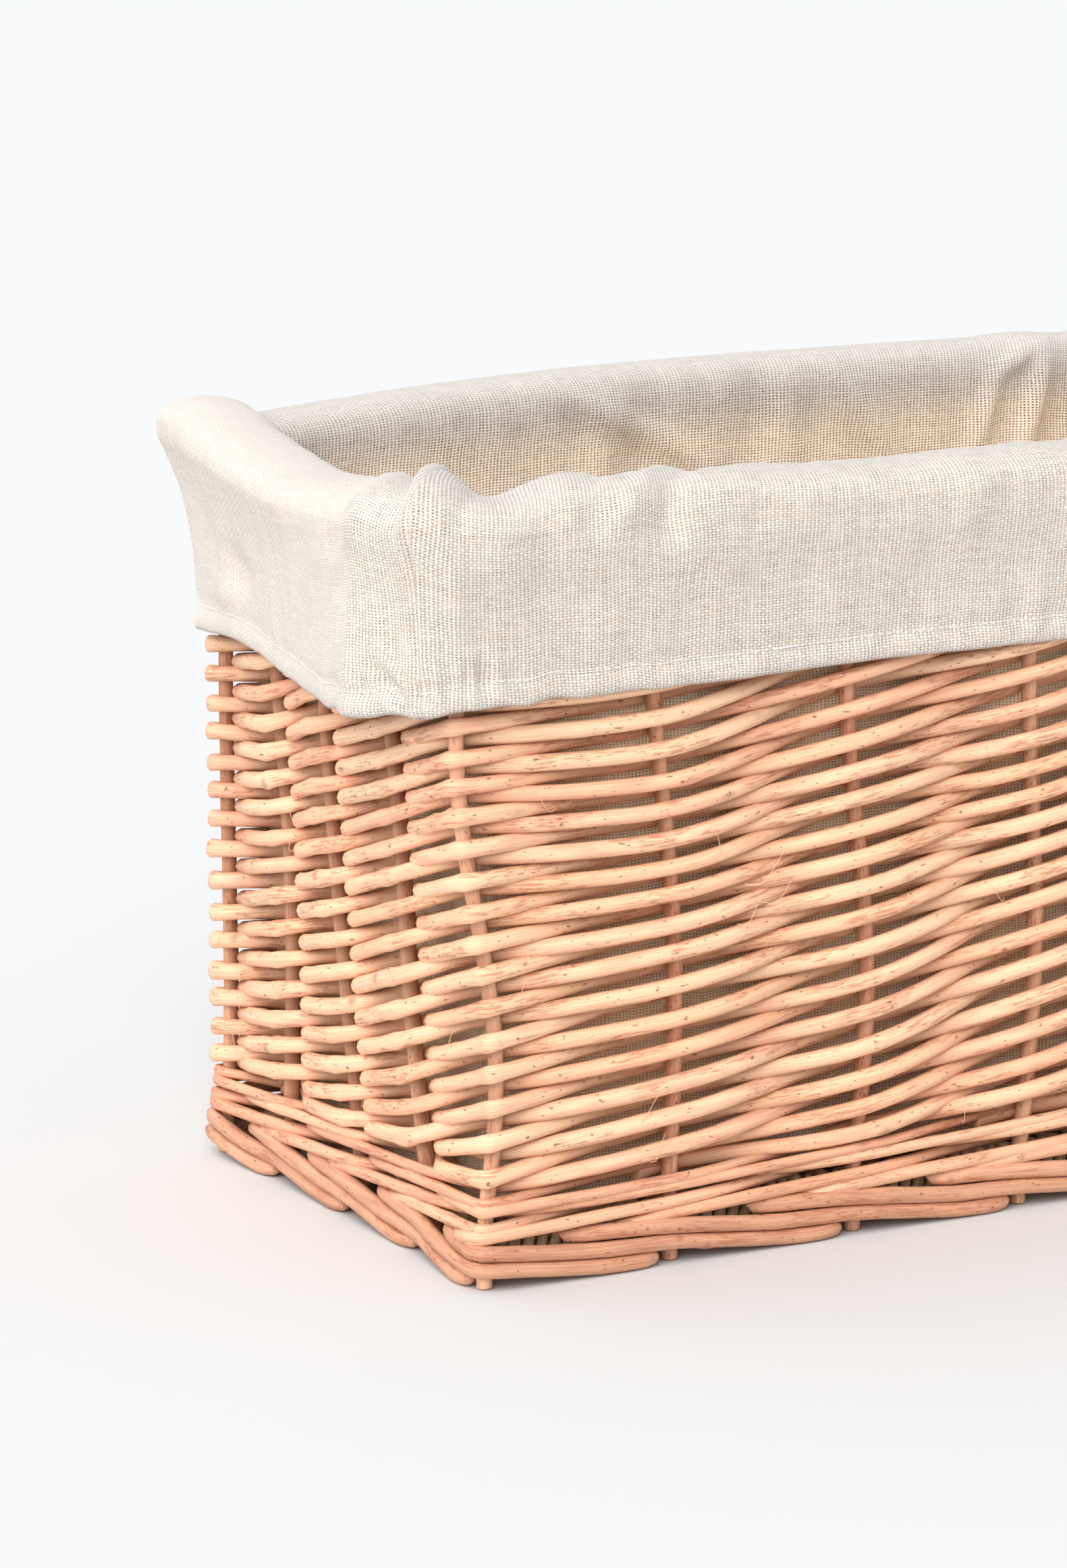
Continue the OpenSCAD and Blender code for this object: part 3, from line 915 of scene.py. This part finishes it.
# Along each wall: how far the crest and the hem lie above their level, and how far the cuff
# stands out
crest_lines = {
    FRONT: (
        [-240, -226, -216, -206, -195, -182, -165, -140, -126, -96, -55, -15, 5, 15, 32, 48, 80,
         110, 140, 170, 200, 225, 240],
        [2, 1, -1.5, -4.6, -3.4, 3.6, 3.6, 0.8, 1.2, -0.4, -2.2, -2.8, -1.2, -3.2, -1.2, -3.0, -2.4,
         -0.8, -2.8, -1.0, 1.0, 5, 5]),
    RIGHT: ([-115, -90, -50, 0, 50, 90, 115], [5, 3, -2, -3, 0, 3, 4]),
    BACK: (
        [-230, -200, -186, -132, -59, 17, 95, 150, 172, 186, 200, 230],
        [1, -2.0, -1.0, 2.6, 5.2, 5.4, 4.2, 3.0, 4.6, 2.0, 2.0, 3]),
    LEFT: (
        [-115, -105, -90, -60, -26, -6, 25, 55, 80, 95, 118],
        [3, 4, 4, -1.0, -4.6, -5.6, -2.6, 3.0, 9.0, 10.6, 7.6]),
}
hem_lines = {
    FRONT: (
        [-240, -214, -200, -110, -40, 50, 140, 240],
        [-1.6, -1.4, -0.2, -0.6, 0.9, 0.5, -1.3, -0.3]),
    RIGHT: ([-120, -60, 0, 60, 120], [-1, -3, -2, -4, -1]),
    BACK: ([-240, -150, -60, 30, 120, 240], [-4, -1, -2.5, 0, -2, -1]),
    LEFT: (
        [-120, -104, -79, -50, -33, 7, 34, 60, 95, 120],
        [-1.6, -3.8, -7.4, -8.6, -8.8, -8.2, -5.4, -3.6, -4.4, -4.5]),
}
bulge_lines = {
    FRONT: ([-240, -226, -205, -160, -60, 40, 140, 240], [-1.0, -0.6, 0.8, 1.4, 0, 0.8, 1.2, -1]),
    RIGHT: ([-120, -80, -20, 60, 120], [-1, 2, 4, 3, -1]),
    BACK: ([-240, -180, -60, 60, 180, 240], [-1, 2, 0, 1, 2, -1]),
    LEFT: ([-120, 120], [0, 0]),
}
roll_share = {FRONT: 0.62, RIGHT: 0.9, BACK: 0.9, LEFT: 1.12}

lift = np.zeros_like(x_at)
push = np.zeros_like(x_at)
flap = cuff_at * fade(z_at, 300 * MM, -45 * MM)
roll = cuff_at * bell(z_at, 304 * MM, 13 * MM)
for wall in range(4):
    a, weight = side_along[wall], facing[wall]
    lift += weight * soft_line(a, *crest_lines[wall]) * crest_at
    lift += weight * soft_line(a, *hem_lines[wall]) * flap
    push += weight * soft_line(a, *bulge_lines[wall]) * flap
    push += weight * (roll_share[wall] - 1) * 14 * MM * roll


def crease(wall, a0, z0, a1, z1, width, height, part):
    """A fold along a line on one wall of a part of the cloth, height millimetres high."""
    line = np.array([a1 - a0, z1 - z0], float) * MM
    da, dz = side_along[wall] - a0 * MM, z_at - z0 * MM
    t = np.clip((da * line[0] + dz * line[1]) / (line @ line), 0, 1)
    away = np.hypot(da - t * line[0], dz - t * line[1])
    ends = 0.35 + 0.65 * np.sin(math.pi * np.clip(t, 0.02, 0.98))
    return facing[wall] * part * height * MM * bell(away, 0, width * MM) * ends


# Distance round the contour from the middle of the near left corner, and heights, in
# millimetres
corner_column = COLUMNS - CORNER_COLUMNS // 2
wall_start = [int(np.argmax(column_wall == wall)) for wall in range(4)]
straight_of = [LONG_COLUMNS, SHORT_COLUMNS, LONG_COLUMNS, SHORT_COLUMNS]
seams = [wall_start[w] + straight_of[w] + 10 for w in range(4)]
looped = np.concatenate([base_points, base_points[:, :1]], 1)
arc = np.zeros((ROWS, COLUMNS + 1))
arc[:, 1:] = np.cumsum(np.linalg.norm(np.diff(looped, axis=1), axis=2), axis=1)
from_corner = arc[:, :-1] - arc[:, corner_column][:, None]
from_corner += np.where(from_corner < -arc[:, -1:] / 2, arc[:, -1:], 0)
q_at, up_at = from_corner / MM, z_at / MM

# The slack cloth of the cuff stands out from the left wall in a long, sharp fold
HORN_Q = [-190, -150, -118, -88, -60, -46, -39, -35, -31, -24, -10, 0, 9, 20, 32]
HORN_X = [0, -2.5, -7, -12.5, -18.6, -21.8, -23.2, -23.6, -22, -18.2, -11.4, -7.2, -2.6, -0.4, 0]
HORN_Y = [0, 0, 0, 0, -0.4, -0.4, 0.4, 2.0, 1.2, 0.2, -1.0, -2.2, -1.2, -0.5, 0]
HORN_Z = [225, 229, 246, 272, 285, 294, 301, 308]
HORN_SHARE = [1, 1, 1, 0.74, 0.56, 0.40, 0.20, 0]
share = cuff_at * np.interp(up_at, HORN_Z, HORN_SHARE)
horn_x = np.interp(q_at, HORN_Q, HORN_X) * MM * share
horn_y = np.interp(q_at, HORN_Q, HORN_Y) * MM * share


def bump(q, z, wide, high, tilt):
    """A soft bump of the outer cloth at a distance from the corner and a height. tilt is how
    far it moves round for each millimetre up."""
    dq = q_at - q - tilt * (up_at - z)
    dz = (up_at - z) / high
    return np.exp(-((dq / wide) ** 2) - dz**2) * np.clip(cuff_at * 1.6, 0, 1)


# The folded peak over the corner, the hump and the dip beside it, and the dents and rises of
# the front crest: distance from the corner, width and height
ridge = q_at + 8.5
near_crest = np.clip(crest_at * 1.3 - 0.3, 0, 1)
peak = np.exp(-np.abs(ridge / np.where(ridge < 0, 4.2, 10.0)) ** 1.35) * near_crest
lift += peak * 8.6 * MM
for q, wide, size in ((64, 8, -2.0), (88, 6, 1.7), (103, 5, -1.6), (131, 8, 1.0)):
    lift += size * MM * (bell(q_at, q, wide) * crest_at)
lift += bell(q_at, -38, 11) * near_crest * 2.6 * MM
lift -= bell(q_at, -14, 9) * crest_at * 3.0 * MM

# Bumps and pinches of the roll: the arguments of bump, and the size in millimetres
push += peak * 2.0 * MM * cuff_at
for *where, size in (
    (-8.5, 311, 2.2, 5, 0.1, 1.4), (-12.0, 308, 2.4, 7, 0.1, -2.2), (72, 301, 6, 10, 0.4, -2.2),
    (86, 303, 6, 9, 0.4, 1.4), (104, 299, 5, 12, 0.2, -1.6), (12, 306, 9, 8, 0, -2.6),
    (36, 305, 11, 9, 0, 1.6), (-40, 300, 9, 8, 0, 2.6), (-58, 292, 8, 7, 0.6, -2.2),
    (-70, 286, 9, 7, 0.6, 2.0), (-52, 278, 5, 9, 0.9, -1.8), (-24, 268, 6, 26, 0.1, 1.0),
    (-16, 262, 4, 24, 0, -1.3),
):
    push += bump(*where) * size * MM

# The cuff is drawn in under the roll at the far left corner
far_column = wall_start[BACK] + LONG_COLUMNS + CORNER_COLUMNS // 2
from_far = (arc[:, :-1] - arc[:, far_column][:, None]) / MM
drawn = bell(from_far, 0, np.where(from_far < 0, 60, 34)) * cuff_at
push -= drawn * np.interp(up_at, [232, 245, 258, 272, 285, 295, 303, 309, 313],
                          [4.4, 5.8, 6.2, 6.8, 8.2, 8.4, 7.4, 4.4, 1.5]) * MM
lift -= drawn * 3.4 * MM * fade(z_at, 260 * MM, -20 * MM)

# Scallops of the hem beside the corner, of two lengths
scallop = np.cos(from_corner / (31 * MM) * 2 * math.pi + 0.6) + 0.6 * np.cos(
    from_corner / (19 * MM) * 2 * math.pi + 2.0)
lift -= flap * scallop * 0.75 * MM * bell(from_corner, 0, 90 * MM)

# Pinches at the stitched line, and the dent near the far left corner
for *where, size in (
    (14, 244, 2.0, 8, 0, -3.0), (19, 246, 3.2, 9, 0, 1.4), (-19, 246, 2.6, 8, -0.7, -2.4),
    (-14, 248, 2.6, 8, -0.7, 1.6), (-28, 246, 2.4, 7, -0.4, -1.7), (-46, 246, 3.0, 8, 0.3, -1.5),
    (-64, 250, 12, 16, 0.4, 1.6), (-90, 256, 12, 14, 0.8, -1.6), (-166, 262, 11, 10, 0, -4.6),
    (-186, 250, 10, 9, 0, 2.6),
):
    push += bump(*where) * size * MM

# Folds along the front of the cuff, and folds of the bag inside: the arguments of crease
for fold in (
    (-150, 308, -170, 292, 10, 2.0), (-126, 308, -140, 296, 7, -1.8), (-96, 306, -100, 284, 5, -1.3),
    (8, 308, 2, 290, 8, 1.2), (120, 306, 110, 280, 9, -1.4), (190, 302, 205, 262, 11, 1.6),
):
    push += crease(FRONT, *fold, cuff_at)
for fold in (
    (BACK, -76, 312, 10, 272, 6, -3.6), (BACK, -40, 300, 4, 252, 16, 2.0),
    (BACK, 66, 310, 98, 268, 7, -3.6), (BACK, 173, 312, 150, 300, 4.5, -4.0),
    (BACK, 150, 302, 142, 270, 5, -3.6), (BACK, 175, 308, 165, 262, 5, -4.4),
    (BACK, -150, 290, -120, 220, 22, -3.0), (BACK, 30, 200, 120, 90, 26, -3.0),
    (FRONT, -60, 280, 20, 160, 24, -3.0), (FRONT, 110, 290, 60, 190, 18, -3.0),
    (LEFT, 20, 290, -20, 200, 18, -3.0), (RIGHT, -10, 290, 40, 180, 18, -3.0),
):
    push += crease(*fold, 1 - cuff_at)
# The right end of the bag hangs in from the border near its back corner
slack = facing[RIGHT] * (1 - cuff_at) * fade(y_at, 20 * MM, 60 * MM)
slack = slack * fade(z_at, 190 * MM, 60 * MM) * fade(z_at, 312 * MM, -14 * MM)
push -= slack * 17 * MM
# The four panels of the cloth are sewn together near each corner
centres = [wall_start[w] + straight_of[w] // 2 for w in range(4)]
for seam in seams:
    aside = (arc[:, :-1] - arc[:, seam][:, None]) / MM
    push += 1.3 * MM * bell(aside, 0.4, 1.1)
    push -= 1.8 * MM * bell(aside, -2.0, 1.3)

# Gathers along the stitched line of the hem, and small waves all over
turn = np.arange(COLUMNS) / COLUMNS * 2 * math.pi
gathers = np.zeros(COLUMNS)
for waves in (71, 89, 107, 131):
    gathers += np.cos(waves * turn + rng.uniform(0, 2 * math.pi)) * rng.uniform(0.12, 0.3)
swell = 0.6 + 0.4 * np.cos(5 * turn + 1.0) + 0.3 * np.cos(11 * turn + 2.2)
push += gathers * swell * MM * (bell(z_at, 243 * MM, 9 * MM) * cuff_at)
waves = np.zeros_like(x_at)
for _ in range(9):
    around, rise = rng.integers(14, 70), rng.uniform(-110, 110)
    waves += np.cos(around * turn + rise * z_at + rng.uniform(0, 2 * math.pi)) * 0.16
calm = np.where(cuff_at > 0.5, 0.8, 1.3)
push += waves * MM * calm * fade(z_at, 26 * MM, 20 * MM)

wrap = np.zeros((ROWS, COLUMNS, 3))
wrap[..., 0] = x_at + normals[..., 0] * push + horn_x
wrap[..., 1] = y_at + normals[..., 1] * push + horn_y
wrap[..., 2] = z_at + lift


def cloth_lengths(grid):
    """Distance round each row from its first column, and down each column from the crest."""
    looped = np.concatenate([grid, grid[:, :1]], 1)
    across = np.zeros(looped.shape[:2])
    across[:, 1:] = np.cumsum(np.linalg.norm(np.diff(looped, axis=1), axis=2), axis=1)
    down = np.zeros(looped.shape[:2])
    down[1:] = np.cumsum(np.linalg.norm(np.diff(looped, axis=0), axis=2), axis=0)
    return across, down - down[crest_row]


def ring_quads(count):
    """Faces between rows of points that close on themselves, and their rows and columns."""
    r, c = np.meshgrid(np.arange(count - 1), np.arange(COLUMNS), indexing="ij")
    after = (c + 1) % COLUMNS
    quads = [r * COLUMNS + c, (r + 1) * COLUMNS + c, (r + 1) * COLUMNS + after, r * COLUMNS + after]
    return r, c, np.stack(quads, -1).reshape(-1, 4)


across, down = cloth_lengths(wrap)
column_panel = np.searchsorted(seams, np.arange(COLUMNS), side="right") % 4
before_first = np.arange(COLUMNS) >= seams[3]
r, c, quads = ring_quads(ROWS)
corner_rows = np.stack([r, r + 1, r + 1, r], -1)
corner_columns = np.stack([c, c, c + 1, c + 1], -1)
panel_of = np.broadcast_to(column_panel[c][..., None], corner_rows.shape)
centre_of = np.array(centres)[panel_of]
mean_across, mean_down = across[crest_row:hem_row].mean(0), down.mean(1)
# The share by which the threads follow each fold, and not the panel as a whole
bent = 0.35
u = (mean_across[corner_columns] - mean_across[centre_of]) * (1 - bent)
u = u + (across[corner_rows, corner_columns] - across[corner_rows, centre_of]) * bent
start_over = mean_across[-1] * (1 - bent) + across[corner_rows, -1] * bent
u = u - np.where(before_first[c][..., None], start_over, 0)
v = down[corner_rows, corner_columns] * bent + mean_down[corner_rows] * (1 - bent)
cloth = np.stack([u, v, panel_of * 1.0], -1).reshape(-1, 3)
liner_wrap = make_piece(
    "liner_wrap", wrap.reshape(-1, 3), [quads], linen, "liner",
    ["liner_front", "liner_right", "liner_back", "liner_left",
     "cuff_front", "cuff_right", "cuff_back", "cuff_left"],
    {"cloth": ("CORNER", cloth)})
RINGS = 34
shares = np.linspace(0, 1, RINGS + 1)[:-1]
rim = wrap[0]
floor_points = []
for share in shares:
    # Each ring is smaller than the last, and a little uneven like cloth on a woven base
    ring = rim * np.array([1 - share, 1 - share, 1])
    sag = 1.6 * np.sin(ring[:, 0] / 0.031 + 2 * np.sin(ring[:, 1] / 0.04))
    sag = sag + 1.2 * np.sin((ring[:, 0] + ring[:, 1]) / 0.017)
    ring[:, 2] += (0.9 + sag * 0.35) * MM * min(1, share * 6)
    floor_points.append(ring)
floor_points = np.concatenate(floor_points + [np.array([[0, 0, rim[0, 2] + 1 * MM]])])
floor_quads = ring_quads(RINGS)[2][:, [0, 3, 2, 1]]
last = (RINGS - 1) * COLUMNS + np.arange(COLUMNS)
fan = np.stack([last, np.roll(last, -1), np.full(COLUMNS, RINGS * COLUMNS)], -1)
floor_cloth = floor_points - [0, 0.5, 0]
liner_floor = make_piece("liner_floor_cloth", floor_points, [floor_quads, fan], linen,
                         "liner", ["liner_floor"], {"cloth": ("POINT", floor_cloth)})

# Each piece of cloth gets a thin shell, whose back faces take the lighter copy of the linen: painted
# light
for piece in (liner_wrap, liner_floor):
    thick = piece.modifiers.new("thickness", "SOLIDIFY")
    thick.thickness = 0.9 * MM
    thick.offset = -1.0
    thick.material_offset = 1
    piece.data.materials.append(linen_back_lightened)


def on_cloth(row, column):
    """A point of the cloth and the way out of it, at a row and a fraction of a column."""
    i = int(math.floor(column)) % COLUMNS
    j, t = (i + 1) % COLUMNS, column - math.floor(column)
    point = wrap[row, i] * (1 - t) + wrap[row, j] * t
    over = wrap[(row + 1) % ROWS, i] - wrap[row - 1, i]
    return point, unit(np.cross(over, wrap[row, j] - wrap[row, i]))


# ---- stitches and elastic ----

# One long, thick stitch stands out on the front, between two places along it
STITCH_GAP, LONG_FROM, LONG_TO = 1.0 * MM, -90 * MM, -84 * MM
stitches = Rods()
around = across[stitch_row]
place = 0.0
while place < around[-1] - 5 * MM:
    size = rng.uniform(2.7, 3.3) * MM
    thick = 0.24 * MM
    middle = wrap[stitch_row, int(np.searchsorted(around, place)) % COLUMNS]
    on_front = middle[1] < -100 * MM
    if on_front and LONG_FROM < middle[0] < LONG_TO:
        size, thick = 12.5 * MM, 0.42 * MM
    path = []
    for share in np.linspace(0, 1, 6):
        column = np.interp(place + size * share, around, np.arange(COLUMNS + 1))
        point, way = on_cloth(stitch_row, column)
        path.append(point + way * (0.05 + 0.34 * math.sin(math.pi * share)) * MM)
    stitches.add(np.array(path), thick, sides=6, rough=0.0)
    place += size + STITCH_GAP
stitch_piece = stitches.piece("hem_stitches", sewing_thread, body="liner", slot="linen")

# The elastic lies between the two layers of the hem
elastic = Rods()
inner = (wrap[stitch_row + (hem_row - stitch_row) // 2] + wrap[ROWS - 5]) / 2
elastic.add(np.concatenate([inner, inner[:1]]), 0.5 * MM, sides=8, rough=0.0)
elastic_piece = elastic.piece("hem_elastic_band", elastic_band, ["hem_elastic"], "liner", "elastic")

wrap_area = float(sum(
    np.linalg.norm(np.cross(wrap[1:, (i + 1) % COLUMNS] - wrap[:-1, i],
                            wrap[1:, i] - wrap[:-1, (i + 1) % COLUMNS]), axis=1).sum() / 2
    for i in range(COLUMNS)))
floor_size = (rim.max(0) - rim.min(0))[:2]

# ---- floor, light and camera ----

FLOOR_HALF = 30.0
mesh = bpy.data.meshes.new("floor")
mesh.from_pydata([(x * FLOOR_HALF, y * FLOOR_HALF, 0)
                  for x, y in ((-1, -1), (1, -1), (1, 1), (-1, 1))], [], [(0, 1, 2, 3)])
floor_material, tree, shader = new_material("floor", Roughness=0.9, Specular_IOR_Level=0.1)
shader.inputs["Base Color"].default_value = (0.672, 0.680, 0.684, 1)
mesh.materials.append(floor_material)
floor = bpy.data.objects.new("floor", mesh)
bpy.context.scene.collection.objects.link(floor)

world = bpy.data.worlds.new("studio")
bpy.context.scene.world = world
world.use_nodes = True
background = world.node_tree.nodes["Background"]
background.inputs["Color"].default_value = (0.985, 1.0, 1.02, 1)
background.inputs["Strength"].default_value = 0.73

def looking(way):
    """A matrix that turns a lamp or camera to look along a way."""
    way = unit(np.array(way, float))
    right = unit(np.cross(way, [0, 0, 1]))
    matrix = np.eye(4)
    matrix[:3, 0], matrix[:3, 1], matrix[:3, 2] = right, np.cross(right, way), -way
    return matrix


def broad_lamp(name, way, energy, degrees, tint):
    """Far light from a window as wide as some degrees of the sky."""
    lamp = bpy.data.lights.new(name, "SUN")
    lamp.energy = energy
    lamp.angle = math.radians(degrees)
    lamp.color = tint
    placed_lamp = bpy.data.objects.new(name, lamp)
    bpy.context.scene.collection.objects.link(placed_lamp)
    placed_lamp.matrix_world = Matrix(looking(way))


broad_lamp("window", (0.54, 0.47, -0.55), 2.75, 50, (1.0, 0.985, 0.965))
broad_lamp("back", (0.30, -0.55, -0.80), 0.62, 70, (1.0, 1.0, 1.0))

# The camera's turn to the right and down, its distance from the place it looks at, and its
# focal length as a number of pixels of the picture's height
YAW, PITCH_DOWN = math.radians(29.12), math.radians(12.55)
DISTANCE = 2.724
TARGET = np.array([-128.3, 0, 169.7]) * MM
FOCAL_PIXELS, FRAME_PIXELS = 10020, 2324
SENSOR = 36
camera_data = bpy.data.cameras.new("camera")
camera_data.sensor_width = SENSOR
camera_data.lens = FOCAL_PIXELS / FRAME_PIXELS * SENSOR
camera_data.clip_end = 100
camera = bpy.data.objects.new("camera", camera_data)
bpy.context.scene.collection.objects.link(camera)
look = np.array([math.sin(YAW) * math.cos(PITCH_DOWN), math.cos(YAW) * math.cos(PITCH_DOWN),
                 -math.sin(PITCH_DOWN)])
matrix = looking(look)
matrix[:3, 3] = TARGET - DISTANCE * look
camera.matrix_world = Matrix(matrix)
bpy.context.scene.camera = camera
bpy.context.scene.view_settings.view_transform = "Standard"
